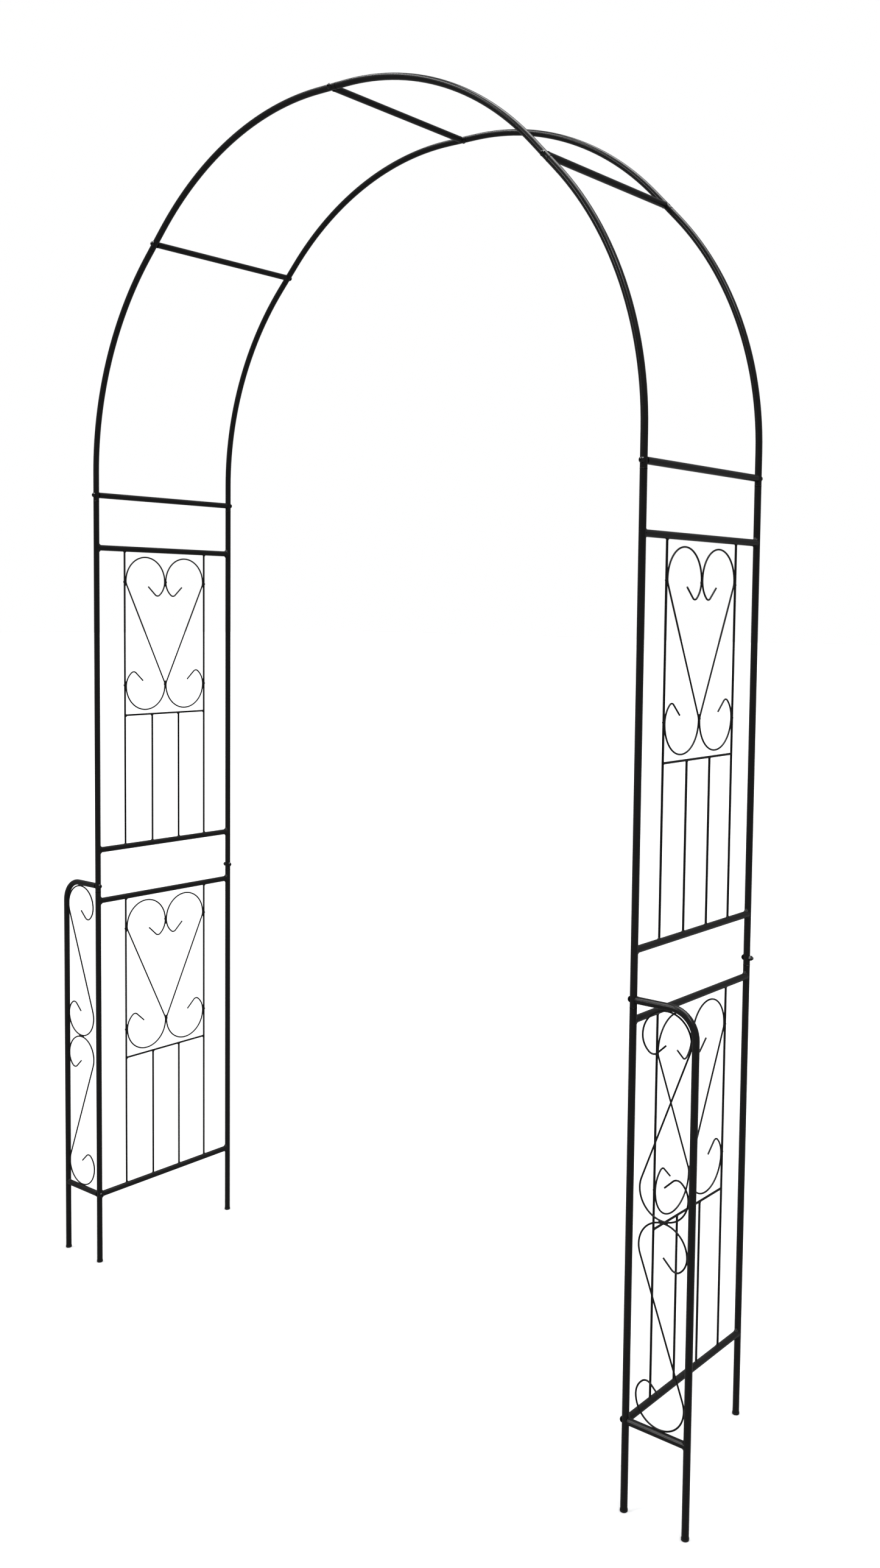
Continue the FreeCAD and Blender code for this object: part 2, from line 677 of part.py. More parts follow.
# Where the five crossbars meet the hoops.
crossbar_places = [
    ("left_springing", "-" + HALF_SPAN, "Dims.SpringJointHeight"),
    ("right_springing", HALF_SPAN, "Dims.SpringJointHeight"),
]
for label in HOOP_JOINTS:
    joint_x, joint_z = seam_point(label, 0)
    crossbar_places.append((label, joint_x, joint_z))


def crossbar_fasteners(bolt, insert):
    """A bolt through each hoop from outside, into an insert in the crossbar's end."""
    bolts = []
    inserts = []
    for _, x, z in crossbar_places:
        for sign, outward in ((-1, TOWARDS_FRONT), (1, TOWARDS_REAR)):
            head_y = f"{sign} * ({HALF_DEPTH} + {TUBE_RADIUS})"
            insert_y = f"{sign} * ({HALF_DEPTH} - {COLLAR_FACE})"
            bolts.append(copy_of(bolt, x, head_y, z, outward))
            inserts.append(copy_of(insert, x, insert_y, z, outward))
    group("crossbar_bolts", bolts)
    group("crossbar_inserts", inserts)


def wing_fasteners(bolt, insert):
    """Bolts through the front posts from the walkway side, into both rails of each wing."""
    bolts = []
    inserts = []
    for _, sign in SIDES:
        inward = TOWARDS_RIGHT if sign < 0 else TOWARDS_LEFT
        for z in ("Dims.LegJointHeight", "Dims.LowerRailHeight"):
            head_x = f"{sign} * ({HALF_SPAN} - {TUBE_RADIUS})"
            insert_x = f"{sign} * ({HALF_SPAN} + {COLLAR_FACE})"
            bolts.append(copy_of(bolt, head_x, "-" + HALF_DEPTH, z, inward))
            inserts.append(copy_of(insert, insert_x, "-" + HALF_DEPTH, z, inward))
    group("wing_bolts", bolts)
    group("wing_inserts", inserts)


def rear_leg_fasteners(bolt, nut):
    """Through bolts that lock the rear posts' joints, nuts on the outside."""
    bolts = []
    nuts = []
    for _, sign in SIDES:
        inward = TOWARDS_RIGHT if sign < 0 else TOWARDS_LEFT
        outward = TOWARDS_LEFT if sign < 0 else TOWARDS_RIGHT
        head_x = f"{sign} * ({HALF_SPAN} - {TUBE_RADIUS})"
        nut_x = f"{sign} * ({HALF_SPAN} + {TUBE_RADIUS})"
        bolts.append(copy_of(bolt, head_x, HALF_DEPTH, "Dims.LegJointHeight", inward))
        nuts.append(copy_of(nut, nut_x, HALF_DEPTH, "Dims.LegJointHeight", outward))
    group("rear_leg_bolts", bolts)
    group("rear_leg_nuts", nuts)


def foot_caps(cap):
    feet = []
    for _, sign in SIDES:
        feet.append(copy_of(cap, f"{sign} * {HALF_SPAN}", "-" + HALF_DEPTH, "0", None))
        feet.append(copy_of(cap, f"{sign} * {HALF_SPAN}", HALF_DEPTH, "0", None))
        feet.append(copy_of(cap, f"{sign} * {LEG_X}", "-" + HALF_DEPTH, "0", None))
    group("foot_caps", feet)


# ---- The arch --------------------------------------------------------------------------------

panel_scroll = scroll_template("Panel")
wing_scroll = scroll_template("Wing")
for side, sign in SIDES:
    for hoop_name, depth_sign in HOOPS:
        lower_post(side, sign, hoop_name, depth_sign)
        upper_post(side, sign, hoop_name, depth_sign)
    for level, rail_height in (("lower", "Dims.LowerRailHeight"), ("upper", "Dims.UpperRailHeight")):
        rail(side, sign, level, "bottom", rail_height)
        rail(side, sign, level, "top", rail_height + " + Dims.PanelHeight")
        panel_wires(side, sign, level, rail_height)
        panel_scrolls(side, sign, level, rail_height, panel_scroll)
    wing_leg(side, sign)
    wing_rail(side, sign)
    wing_scrolls(side, sign, wing_scroll)

for hoop_name, depth_sign in HOOPS:
    hoop(hoop_name, depth_sign)
for label, x, z in crossbar_places:
    crossbar(label, x, z)

rail_bolt_shank = "Dims.TubeDiameter + Dims.CollarThickness + Dims.InsertLength"
rail_bolt = bolt_template("RailBolt", rail_bolt_shank)
through_bolt = bolt_template("ThroughBolt", "Dims.TubeDiameter + Dims.NutHeight + Dims.ThreadShowing")
threaded_insert = insert_template()
crossbar_fasteners(rail_bolt, threaded_insert)
wing_fasteners(rail_bolt, threaded_insert)
rear_leg_fasteners(through_bolt, nut_template())
foot_caps(cap_template())

# ---- Check and write -------------------------------------------------------------------------

doc.recompute()
for item in doc.Objects:
    if "Invalid" in item.State or "Error" in item.State:
        raise RuntimeError(f"{item.Label} did not build: {item.State}")
labels = [item.Label for item in subparts]
if len(set(labels)) != len(labels):
    raise RuntimeError("two sub-parts share a label")
os.makedirs("parts", exist_ok=True)
for item in subparts:
    shape = item.Shape
    if shape.isNull() or not shape.isValid() or not shape.Solids:
        raise RuntimeError(f"{item.Label} has no valid solid")
    shape.exportStep(f"parts/{item.Label}.step")
    print(f"{item.Label}: {len(shape.Solids)} solid, {shape.Volume / 1000:.2f} cm3")
print(f"{len(subparts)} sub-parts")
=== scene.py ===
import math

import bpy
import numpy as np
from mathutils import Matrix, Vector


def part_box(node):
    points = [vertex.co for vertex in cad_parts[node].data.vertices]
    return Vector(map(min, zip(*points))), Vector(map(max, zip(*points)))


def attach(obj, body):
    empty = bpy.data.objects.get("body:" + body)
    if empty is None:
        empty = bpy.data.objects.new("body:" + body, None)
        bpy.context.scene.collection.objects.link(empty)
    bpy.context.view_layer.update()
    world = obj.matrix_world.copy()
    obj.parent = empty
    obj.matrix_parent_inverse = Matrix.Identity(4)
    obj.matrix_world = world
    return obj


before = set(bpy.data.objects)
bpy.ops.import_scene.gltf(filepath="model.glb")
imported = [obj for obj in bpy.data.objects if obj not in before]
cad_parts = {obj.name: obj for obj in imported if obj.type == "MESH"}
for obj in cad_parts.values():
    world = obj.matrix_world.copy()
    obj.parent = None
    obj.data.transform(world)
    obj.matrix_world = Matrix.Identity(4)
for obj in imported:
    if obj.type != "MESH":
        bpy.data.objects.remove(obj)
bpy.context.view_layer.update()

# ---- Posts, rails, crossbars and hoops --------------------------------------------------------
# Round steel tube, 12 mm across, cut, bent and swaged, then sprayed with black polyester powder
# and baked. The skin is satin, with the faint orange peel and specks that baked powder has.

TUBE_NODES = [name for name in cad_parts
              if "_post_" in name or "_rail_" in name or "_hoop_" in name
              or name.startswith("crossbar_") and "bolts" not in name and "inserts" not in name
              or name.endswith("wing_leg")]
TUBE_COAT = (0.0120, 0.0115, 0.0112, 1.0)
TUBE_COAT_THIN = (0.0180, 0.0172, 0.0167, 1.0)


def new_group(name, inputs, outputs):
    """A shader node group with the named sockets, and its own input and output nodes."""
    tree = bpy.data.node_groups.new(name, "ShaderNodeTree")
    for label, kind, default in inputs:
        socket = tree.interface.new_socket(label, in_out="INPUT", socket_type=kind)
        if default is not None:
            socket.default_value = default
    for label, kind in outputs:
        tree.interface.new_socket(label, in_out="OUTPUT", socket_type=kind)
    return tree, tree.nodes.new("NodeGroupInput"), tree.nodes.new("NodeGroupOutput")


def add_node(tree, kind, inputs=(), **settings):
    """A node with its settings, and its input sockets either joined to a socket or set."""
    node = tree.nodes.new(kind)
    for key, value in settings.items():
        setattr(node, key, value)
    for key, value in dict(inputs).items():
        if isinstance(value, bpy.types.NodeSocket):
            tree.links.new(value, node.inputs[key])
        else:
            node.inputs[key].default_value = value
    return node


def maths(tree, operation, first, second):
    """The result of one step of arithmetic."""
    return add_node(tree, "ShaderNodeMath", {0: first, 1: second}, operation=operation).outputs[0]


def colour_mix(tree, factor, first, second):
    """The first colour, going over to the second as the factor rises from 0 to 1."""
    mix = add_node(tree, "ShaderNodeMix", {0: factor, 6: first, 7: second}, data_type="RGBA")
    return mix.outputs[2]


def place_group(tree, group, inputs):
    """A node that holds the group, with its input sockets joined or set."""
    return add_node(tree, "ShaderNodeGroup", inputs, node_tree=group)


def make_powder_skin():
    """Baked powder: slow changes of film thickness, small specks, and orange peel.

    Peel Size and Speck Size are lengths in metres. Height is in metres and feeds a Bump node.
    """
    tree, given, made = new_group(
        "powder_skin",
        [("Position", "NodeSocketVector", None),
         ("Full Coat", "NodeSocketColor", (0.01, 0.01, 0.01, 1.0)),
         ("Thin Coat", "NodeSocketColor", (0.02, 0.02, 0.02, 1.0)),
         ("Peel Size", "NodeSocketFloat", 0.0016),
         ("Peel Height", "NodeSocketFloat", 0.00003),
         ("Speck Size", "NodeSocketFloat", 0.0007),
         ("Smooth", "NodeSocketFloat", 0.34),
         ("Dull", "NodeSocketFloat", 0.46)],
        [("Colour", "NodeSocketColor"),
         ("Roughness", "NodeSocketFloat"),
         ("Height", "NodeSocketFloat")])
    where = given.outputs["Position"]
    film = add_node(tree, "ShaderNodeTexNoise",
                    {"Vector": where, "Scale": 19.0, "Detail": 3.0, "Roughness": 0.55})
    speck_scale = maths(tree, "DIVIDE", 1.0, given.outputs["Speck Size"])
    specks = add_node(tree, "ShaderNodeTexNoise",
                      {"Vector": where, "Scale": speck_scale, "Detail": 1.0})
    speck_mask = add_node(tree, "ShaderNodeMapRange",
                          {"Value": specks.outputs[0], "From Min": 0.62, "From Max": 0.78})
    thin = maths(tree, "ADD", film.outputs[0], maths(tree, "MULTIPLY", speck_mask.outputs[0], 0.5))
    thinness = add_node(tree, "ShaderNodeMapRange",
                        {"Value": thin, "From Min": 0.35, "From Max": 1.05})
    colour = colour_mix(tree, thinness.outputs[0], given.outputs["Full Coat"],
                        given.outputs["Thin Coat"])
    dulling = add_node(tree, "ShaderNodeMapRange",
                       {"Value": thin, "From Min": 0.3, "From Max": 0.9,
                        "To Min": given.outputs["Smooth"], "To Max": given.outputs["Dull"]})
    peel_scale = maths(tree, "DIVIDE", 1.0, given.outputs["Peel Size"])
    peel = add_node(tree, "ShaderNodeTexNoise",
                    {"Vector": where, "Scale": peel_scale, "Detail": 2.0, "Roughness": 0.45})
    height = maths(tree, "MULTIPLY", peel.outputs[0], given.outputs["Peel Height"])
    tree.links.new(colour, made.inputs["Colour"])
    tree.links.new(dulling.outputs[0], made.inputs["Roughness"])
    tree.links.new(height, made.inputs["Height"])
    return tree


powder_skin = make_powder_skin()


def new_material(name, specular):
    """A material with one Principled shader, its node tree and the shader itself."""
    material = bpy.data.materials.new(name)
    material.use_nodes = True
    tree = material.node_tree
    shader = tree.nodes["Principled BSDF"]
    shader.inputs["Specular IOR Level"].default_value = specular
    return material, tree, shader


def object_position(tree):
    """A point's place in the whole object, in metres."""
    return add_node(tree, "ShaderNodeTexCoord").outputs["Object"]


def join_skin(tree, shader, skin, colour):
    """Feeds the shader a skin's roughness and relief, and the colour given."""
    bump = add_node(tree, "ShaderNodeBump", {"Height": skin.outputs["Height"], "Distance": 1.0})
    tree.links.new(colour, shader.inputs["Base Color"])
    tree.links.new(skin.outputs["Roughness"], shader.inputs["Roughness"])
    tree.links.new(bump.outputs["Normal"], shader.inputs["Normal"])


def powder_material(name, full, thin, smooth, dull, peel_size, peel_height, speck_size, specular):
    """A coated surface with its own colours, gloss and grain."""
    material, tree, shader = new_material(name, specular)
    skin = place_group(tree, powder_skin, {
        "Position": object_position(tree), "Full Coat": full, "Thin Coat": thin,
        "Smooth": smooth, "Dull": dull, "Peel Size": peel_size, "Peel Height": peel_height,
        "Speck Size": speck_size})
    join_skin(tree, shader, skin, skin.outputs["Colour"])
    return material


tube_coat = powder_material("tube_powder_coat", TUBE_COAT, TUBE_COAT_THIN, smooth=0.21, dull=0.31,
                            peel_size=0.0017, peel_height=0.00003, speck_size=0.0008,
                            specular=0.22)


def finish_node(name, material):
    """Gives a CAD node its finish through the object's own material slots."""
    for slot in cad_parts[name].material_slots:
        slot.link = "OBJECT"
        slot.material = material


for name in TUBE_NODES:
    finish_node(name, tube_coat)

# ---- Wires and scrolls ------------------------------------------------------------------------
# Drawn steel wire, 4 mm for the straight wires and 3 mm for the scrolls, in the same powder.
# On so thin a rod the film lies closer and darker, with a finer grain and a little less gloss.

WIRE_NODES = [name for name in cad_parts
              if name.endswith(("uprights", "cross_wire", "scrolls"))]
WIRE_COAT = (0.0066, 0.0063, 0.0061, 1.0)
WIRE_COAT_THIN = (0.0120, 0.0115, 0.0112, 1.0)

wire_coat = powder_material("wire_powder_coat", WIRE_COAT, WIRE_COAT_THIN, smooth=0.26, dull=0.38,
                            peel_size=0.0012, peel_height=0.00002, speck_size=0.0006,
                            specular=0.22)
for name in WIRE_NODES:
    finish_node(name, wire_coat)

# ---- Welds of the side panel rails ------------------------------------------------------------
# Each rail is coped to its post and run round with a small arc weld before coating. The bead
# fills the corner with a slightly hollow face, and its ripples are faint under the powder.

WELD_SINK = 0.00006
TUBE_RADIUS = 0.006
RAIL_WELD_LEG = 0.0043
RAIL_WELD_CROWN = -0.0003
RAIL_WELD_RIPPLES = 17


def tee_bead(centre, branch, main, main_radius, branch_radius, leg, crown, around, across,
             ripples, phase):
    """A weld bead round the foot of a branch rod that meets a main rod square on.

    centre is where the two axes meet, branch and main their unit directions. At angle a round
    the branch, the two surfaces meet at a height t up the branch where t squared is the main
    radius squared less the sideways part of the branch radius squared. The bead's section goes
    from a point one leg up the branch to a point one leg out on the main rod, as a parabola
    that bulges by the crown over the straight line between them, and closes inside the metal.
    leg and crown may be arrays over the angle. Ripples are a few per cent of the leg.
    """
    branch, main = np.array(branch, float), np.array(main, float)
    side = np.cross(branch, main)
    angle = np.linspace(0, 2 * np.pi, around, endpoint=False)
    leg = leg * (1 + 0.05 * np.sin(ripples * angle + phase) + 0.06 * np.sin(3 * angle + 2 * phase))
    crown = crown * np.ones(around) + 0.04 * leg * np.sin(ripples * angle + phase)
    cos, sin = np.cos(angle), np.sin(angle)

    def at(sideways, along_main, up_branch):
        return (np.array(centre) + sideways[:, None] * side + along_main[:, None] * main
                + up_branch[:, None] * branch)

    foot = np.sqrt(main_radius ** 2 - (branch_radius * cos) ** 2)
    seam = at(branch_radius * cos, branch_radius * sin, foot)
    on_branch = at(branch_radius * cos, branch_radius * sin, foot + leg)
    reach = (branch_radius + leg * (1 - branch_radius / main_radius)) * cos
    rise = np.sqrt(np.maximum(main_radius ** 2 - reach ** 2, 0))
    on_main = at(reach, (branch_radius + leg) * sin, rise)
    branch_normal = cos[:, None] * side + sin[:, None] * main
    main_normal = (reach[:, None] * side + rise[:, None] * branch) / main_radius
    outward = branch_normal + main_normal
    outward /= np.linalg.norm(outward, axis=1, keepdims=True)
    on_branch = on_branch - branch_normal * WELD_SINK
    on_main = on_main - main_normal * WELD_SINK
    pull = (on_branch + on_main) / 2 + outward * (2 * crown)[:, None]
    share = np.linspace(0, 1, across)[None, :, None]
    skin = ((1 - share) ** 2 * on_branch[:, None] + 2 * share * (1 - share) * pull[:, None]
            + share ** 2 * on_main[:, None])
    inside = (seam - outward * 6 * WELD_SINK)[:, None]
    return np.concatenate([skin, inside], axis=1)


def ring_faces(rings, count, closed):
    """Quads between neighbouring rings of count points each; closed joins last ring to first."""
    last = rings if closed else rings - 1
    ring, point = np.meshgrid(np.arange(last), np.arange(count), indexing="ij")
    after, beside = (ring + 1) % rings, (point + 1) % count
    corners = [ring * count + point, after * count + point, after * count + beside,
               ring * count + beside]
    return np.stack(corners, axis=-1).reshape(-1, 4)


def torus_shell(grid):
    """Points and faces of a grid that is closed both ways."""
    rings, count = grid.shape[:2]
    return grid.reshape(-1, 3), ring_faces(rings, count, True).tolist()


def pod_shell(grid, first_tip, last_tip):
    """Points and faces of a row of rings, closed by a fan of triangles at each tip."""
    rings, count = grid.shape[:2]
    points = np.concatenate([grid.reshape(-1, 3), [first_tip], [last_tip]])
    first, last = rings * count, rings * count + 1
    index = np.arange(count)
    beside = (index + 1) % count
    start = np.stack([np.full(count, first), index, beside], axis=-1)
    base = (rings - 1) * count
    end = np.stack([np.full(count, last), base + beside, base + index], axis=-1)
    faces = ring_faces(rings, count, False).tolist() + start.tolist() + end.tolist()
    return points, faces


def faces_out(points, faces):
    """The faces, turned over if they enclose a negative volume."""
    triangles = np.array([[face[0], face[k], face[k + 1]]
                          for face in faces for k in range(1, len(face) - 1)])
    a, b, c = (points[triangles[:, k]] for k in range(3))
    volume = np.einsum("ij,ij->i", a - points[0], np.cross(b - points[0], c - points[0])).sum()
    return faces if volume > 0 else [face[::-1] for face in faces]


def build(name, shells, material):
    """One smooth-shaded piece from closed shells of points and faces, in place in its mesh."""
    points, faces, start = [], [], 0
    for shell_points, shell_faces in shells:
        for face in faces_out(shell_points, shell_faces):
            faces.append([start + index for index in face])
        points.append(shell_points)
        start += len(shell_points)
    mesh = bpy.data.meshes.new(name)
    mesh.from_pydata(np.concatenate(points).tolist(), [], faces)
    mesh.polygons.foreach_set("use_smooth", [True] * len(mesh.polygons))
    mesh.materials.append(material)
    mesh.update()
    piece = bpy.data.objects.new(name, mesh)
    bpy.context.scene.collection.objects.link(piece)
    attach(piece, "root")
    return piece


def middle(node):
    """The middle of a CAD node's box."""
    low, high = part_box(node)
    return (low + high) / 2


def rail_weld(centre, direction, leg, phase):
    """The bead round a rail that starts from an upright tube in the given direction."""
    return torus_shell(tee_bead(centre, direction, (0, 0, 1), TUBE_RADIUS, TUBE_RADIUS, leg,
                                RAIL_WELD_CROWN, around=96, across=9,
                                ripples=RAIL_WELD_RIPPLES, phase=phase))


weld_coat = powder_material("weld_powder_coat", TUBE_COAT, TUBE_COAT_THIN, smooth=0.24, dull=0.36,
                            peel_size=0.0022, peel_height=0.00005, speck_size=0.0008,
                            specular=0.22)

for side in ("left", "right"):
    shells = []
    for level in ("lower", "upper"):
        for edge in ("bottom", "top"):
            rail_middle = middle(f"{side}_{level}_rail_{edge}")
            for hoop, inward in (("front", 1), ("rear", -1)):
                post = middle(f"{side}_{hoop}_post_{level}")
                shells.append(rail_weld((post.x, post.y, rail_middle.z), (0, inward, 0),
                                        RAIL_WELD_LEG, len(shells) * 1.7))
    build(f"{side}_rail_welds", shells, weld_coat)

# ---- Weld of each wing's bottom rail ----------------------------------------------------------
# The rail is coped to the wing's outer leg and welded all round. The leg carries no side panel,
# so the bead is finer than on the posts. The rail's other end is bolted, not welded.

WING_WELD_LEG = 0.0024

for side, sign in (("left", -1), ("right", 1)):
    outer_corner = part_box(f"{side}_wing_leg")[0 if sign < 0 else 1]
    leg_x = outer_corner.x - sign * TUBE_RADIUS
    rail_middle = middle(f"{side}_wing_rail_bottom")
    shell = rail_weld((leg_x, rail_middle.y, rail_middle.z), (-sign, 0, 0), WING_WELD_LEG, sign)
    build(f"{side}_wing_rail_weld", [shell], weld_coat)

# ---- Welds of the straight wires --------------------------------------------------------------
# Each end of an upright or cross wire is butted against a rail or another wire and tacked with
# one touch of the torch, so its little fillet is heavier on one side.

WIRE_RADIUS = 0.002
TACK_LEG = 0.0013
TACK_HEAVY_LEG = 0.0027
TACK_CROWN = 0.0001
TACK_AIM_SPREAD = 0.4
TACK_POINTS = 28
UP, DOWN, FRONTWARD, REARWARD = (0, 0, 1), (0, 0, -1), (0, -1, 0), (0, 1, 0)

tack_places = np.random.default_rng(7)


def tack(centre, branch, main, main_radius):
    """A tee bead whose leg swells towards one side of the branch: by the cosine of the angle
    from the heavy side, squared, over the half turn that faces it. The heavy side is near
    either flank of the main rod, at random."""
    heavy = math.pi / 2 * tack_places.choice((-1, 1)) + tack_places.normal(0, TACK_AIM_SPREAD)
    angle = np.linspace(0, 2 * np.pi, TACK_POINTS, endpoint=False)
    facing = np.maximum(np.cos(angle - heavy), 0) ** 2
    leg = TACK_LEG + (TACK_HEAVY_LEG - TACK_LEG) * facing
    return torus_shell(tee_bead(centre, branch, main, main_radius, WIRE_RADIUS, leg, TACK_CROWN,
                                around=TACK_POINTS, across=6, ripples=6,
                                phase=tack_places.uniform(0, 6)))


for side in ("left", "right"):
    shells = []
    for level in ("lower", "upper"):
        low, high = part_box(f"{side}_{level}_uprights")
        bottom = middle(f"{side}_{level}_rail_bottom")
        top = middle(f"{side}_{level}_rail_top")
        cross = middle(f"{side}_{level}_cross_wire")
        wires_y = np.linspace(low.y + WIRE_RADIUS, high.y - WIRE_RADIUS, 4)
        for order, y in enumerate(wires_y):
            outer = order in (0, 3)
            head, head_radius = (top, TUBE_RADIUS) if outer else (cross, WIRE_RADIUS)
            for end, radius, direction in ((bottom, TUBE_RADIUS, UP), (head, head_radius, DOWN)):
                shells.append(tack((end.x, y, end.z), direction, REARWARD, radius))
        for y, direction in ((wires_y[0], REARWARD), (wires_y[3], FRONTWARD)):
            shells.append(tack((cross.x, y, cross.z), direction, UP, WIRE_RADIUS))
    build(f"{side}_wire_tacks", shells, weld_coat)

# ---- Welds of the panel scrolls ---------------------------------------------------------------
# The curls lie against the outer uprights and against each other, and are fused there with a
# long lens of weld metal that fills the cusp between the two rods. On the far side of each
# contact the spot welder has squeezed up a small round nub.

SCROLL_RADIUS = 0.0015
CUSP_HALF_THICK = 0.0014
OUTER_CUSP = (0.010, 0.0021, CUSP_HALF_THICK)
HEART_CUSP = (0.009, 0.0017, CUSP_HALF_THICK)
NUB = (0.0025, 0.0014, 0.0014)
NUB_STRAY = 0.0015
CONTACT_SHIFT = 0.002


def cusp_weld(centre, along, towards, half_sizes, wobble):
    """A lens of weld metal between two rods that touch side by side.

    centre is the point of contact, along the rods' common direction and towards the direction
    from one rod to the other. half_sizes are the half length, width and thickness. Its section
    is an ellipse of the half width and half thickness times the root of one less the square of
    the distance from the middle, to close at both tips, and wobble makes the outline uneven by
    a slow wave.
    """
    half_length, half_width, half_thick = half_sizes
    along, towards = np.array(along, float), np.array(towards, float)
    through = np.cross(along, towards)
    run = np.cos(np.linspace(np.pi, 0, 19))[1:-1]
    swell = np.sqrt(1 - run ** 2) * (1 + 0.12 * np.sin(5 * run + wobble))
    angle = np.linspace(0, 2 * np.pi, 16, endpoint=False)
    spine = np.array(centre) + (run * half_length)[:, None] * along
    section = (half_width * np.cos(angle)[None, :, None] * towards
               + half_thick * np.sin(angle)[None, :, None] * through)
    rings = spine[:, None] + swell[:, None, None] * section
    tips = [np.array(centre) + end * half_length * along for end in (-1, 1)]
    return pod_shell(rings, *tips)


for side in ("left", "right"):
    shells = []
    for level in ("lower", "upper"):
        low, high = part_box(f"{side}_{level}_scrolls")
        centre = (low + high) / 2
        contact_rise = (high.z - low.z) / 2 - (high.y - centre.y) / 2
        for end in (1, -1):
            z = centre.z + end * (contact_rise - CONTACT_SHIFT)
            heart_facing = tack_places.choice((-1, 1))
            contacts = ((low.y, -1, OUTER_CUSP, 2 * WIRE_RADIUS),
                        (high.y, 1, OUTER_CUSP, 2 * WIRE_RADIUS),
                        (centre.y, heart_facing, HEART_CUSP, 2 * SCROLL_RADIUS))
            for y, facing, half_sizes, far_side in contacts:
                towards = (0, facing, 0)
                shells.append(cusp_weld((centre.x, y, z), UP, towards, half_sizes, len(shells)))
                nub_place = (centre.x, y + facing * far_side,
                             z + tack_places.normal(0, NUB_STRAY))
                shells.append(cusp_weld(nub_place, UP, towards, NUB, len(shells)))
    build(f"{side}_scroll_welds", shells, weld_coat)

# ---- Welds of the wing scrolls ----------------------------------------------------------------
# Each scroll touches the outer leg at both its curls, one rail, and the other scroll. At each of
# those places the gap between the two rods is filled with a lens of weld metal.

LEG_CUSP = (0.011, 0.0020, 0.0016)
RAIL_CUSP = (0.009, 0.0019, 0.0015)

for side, sign in (("left", -1), ("right", 1)):
    shells = []
    low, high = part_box(f"{side}_wing_scrolls")
    centre = (low + high) / 2
    half_width = (high.x - low.x) / 2
    scroll_height = (high.z - low.z) / 2
    leg_face = low.x if sign < 0 else high.x
    outward = (sign, 0, 0)
    for scroll_middle in (centre.z - scroll_height / 2, centre.z + scroll_height / 2):
        for end in (-1, 1):
            z = scroll_middle + end * (scroll_height / 2 - half_width)
            shells.append(cusp_weld((leg_face, centre.y, z), UP, outward, LEG_CUSP, len(shells)))
    for z in (low.z, centre.z, high.z):
        shells.append(cusp_weld((centre.x, centre.y, z), (1, 0, 0), UP, RAIL_CUSP, len(shells)))
    build(f"{side}_wing_scroll_welds", shells, weld_coat)

# ---- Seams where two tube lengths meet --------------------------------------------------------
# Each tube slides over the swaged end of the next. Its cut end shows as a thin rounded lip,
# mostly black, with short pale flecks that are partly powder rubbed down to paler metal and
# partly a painted highlight of the lip's lit edge.

LIP_HEIGHT = 0.00016
LIP_HALF_WIDTH = 0.00045
LIP_SHIFT = 0.7 * LIP_HALF_WIDTH
# The near-black band beside each lip is painted shade, standing in for the shadow of a groove at a
# butt that is modelled flush.
GROOVE_SHADE_HEIGHT = 0.00004
GROOVE_SHADE_HALF_WIDTH = 0.0005
GROOVE_SHADE_SHIFT = -0.9 * GROOVE_SHADE_HALF_WIDTH
BAND_FLOOR = 0.0003
SEAM_BELOW_BOLT = 0.013
# Colour of the pale flecks on the seam lips: partly powder rubbed down to metal, partly a painted
# highlight of the lit edge.
WORN_METAL_AND_GLINT = (0.13, 0.127, 0.122, 1.0)


def make_wear_and_glint_flecks():
    """Mask of scattered flecks: three-dimensional noise cut off sharply above a level.

    Fleck Size is a length in metres, and Fleck Share is how low the level is set.
    """
    tree, given, made = new_group(
        "wear_and_glint_flecks",
        [("Position", "NodeSocketVector", None),
         ("Fleck Size", "NodeSocketFloat", 0.002),
         ("Fleck Share", "NodeSocketFloat", 0.4)],
        [("Mask", "NodeSocketFloat")])
    scale = maths(tree, "DIVIDE", 1.0, given.outputs["Fleck Size"])
    noise = add_node(tree, "ShaderNodeTexNoise",
                     {"Vector": given.outputs["Position"], "Scale": scale, "Detail": 1.0})
    level = maths(tree, "SUBTRACT", 1.0, given.outputs["Fleck Share"])
    sharp = add_node(tree, "ShaderNodeMapRange",
                     {"Value": noise.outputs[0], "From Min": level,
                      "From Max": maths(tree, "ADD", level, 0.05)})
    tree.links.new(sharp.outputs[0], made.inputs["Mask"])
    return tree


wear_and_glint_flecks = make_wear_and_glint_flecks()
lip_coat, tree, shader = new_material("lip_wear_and_glint", specular=0.12)
position = object_position(tree)
skin = place_group(tree, powder_skin, {
    "Position": position, "Full Coat": TUBE_COAT, "Thin Coat": TUBE_COAT_THIN,
    "Peel Size": 0.002, "Peel Height": 0.00002, "Speck Size": 0.0009})
flecks = place_group(tree, wear_and_glint_flecks, {
    "Position": position, "Fleck Size": 0.0034, "Fleck Share": 0.42})
# The pale flecks are partly rubbed wear and partly a painted highlight of the lip's lit edge.
join_skin(tree, shader, skin,
          colour_mix(tree, flecks.outputs["Mask"], skin.outputs["Colour"], WORN_METAL_AND_GLINT))

# Painted shade: a near-black, rough band that stands in for the shadow in the seam's groove.
groove_shade_paint = powder_material("seam_groove_painted_shade", (0.0012, 0.0012, 0.0012, 1), (0.004, 0.004, 0.004, 1),
                            smooth=0.7, dull=0.9, peel_size=0.001, peel_height=0.00002,
                            speck_size=0.0006, specular=0.05)


